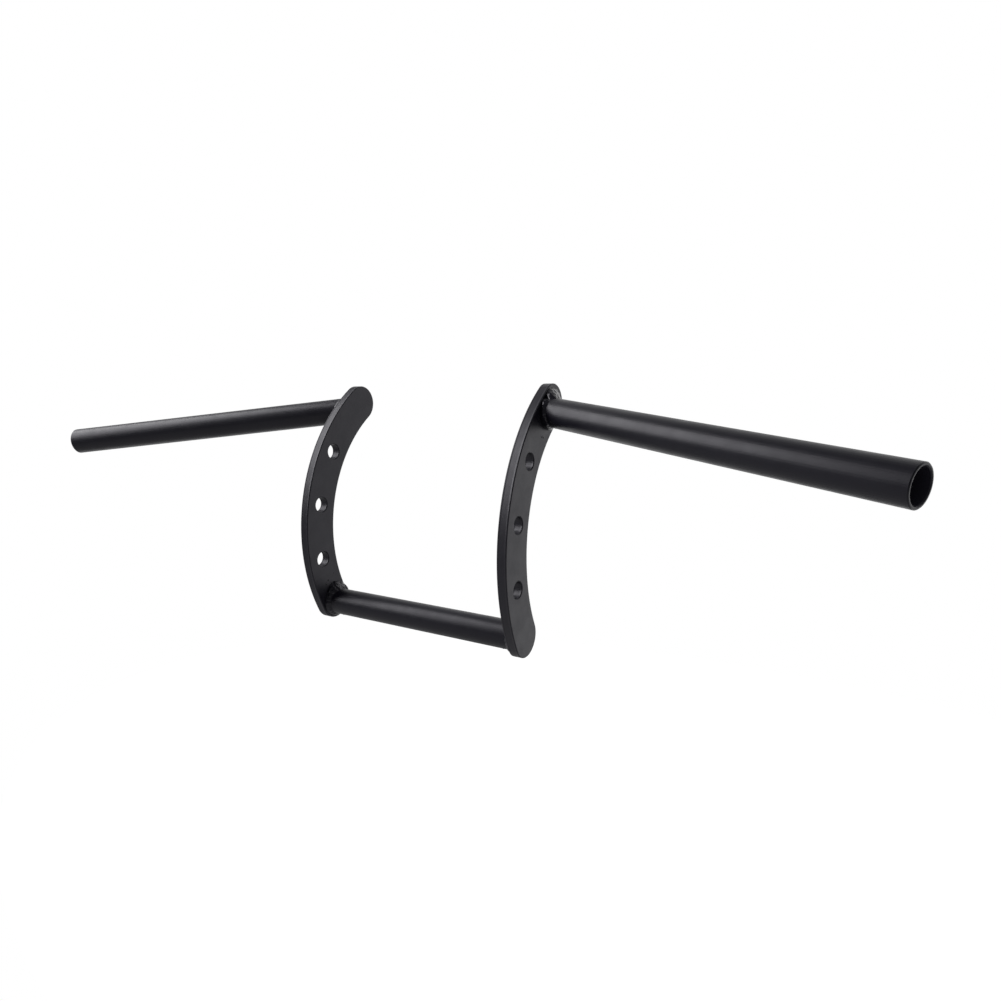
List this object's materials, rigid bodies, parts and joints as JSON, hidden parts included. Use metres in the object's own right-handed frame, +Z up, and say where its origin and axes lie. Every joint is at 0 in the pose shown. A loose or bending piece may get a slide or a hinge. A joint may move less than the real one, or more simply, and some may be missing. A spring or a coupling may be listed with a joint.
{
  "type": "z-bar handlebar",
  "caption": "Welded steel z-bar handlebar: swept open-ended grip tubes on drilled crescent riser plates joined by a clamp tube, satin black.",
  "frame": {"origin": "centre of the clamp tube, on its axis, midway between the riser plates", "axes": "+X along the clamp tube towards the rider's right, +Y forward, +Z up; the grips sweep towards -Y and droop, and the riser plates' end rounds stand one above the other"},
  "size_m": [0.6868, 0.1328, 0.2074],
  "materials": {
    "tube_coat": "satin black powder coat on drawn steel tube",
    "plate_coat": "satin black powder coat on cut steel plate",
    "weld_coat": "satin black powder coat over weld beads"
  },
  "bodies": {
    "root": {"clamp_tube": "tube_coat", "left_grip_tube": "tube_coat", "right_grip_tube": "tube_coat", "left_riser_plate": "plate_coat", "right_riser_plate": "plate_coat", "left_clamp_weld": "weld_coat", "right_clamp_weld": "weld_coat", "left_grip_weld": "weld_coat", "right_grip_weld": "weld_coat"}
  },
  "joints": []
}
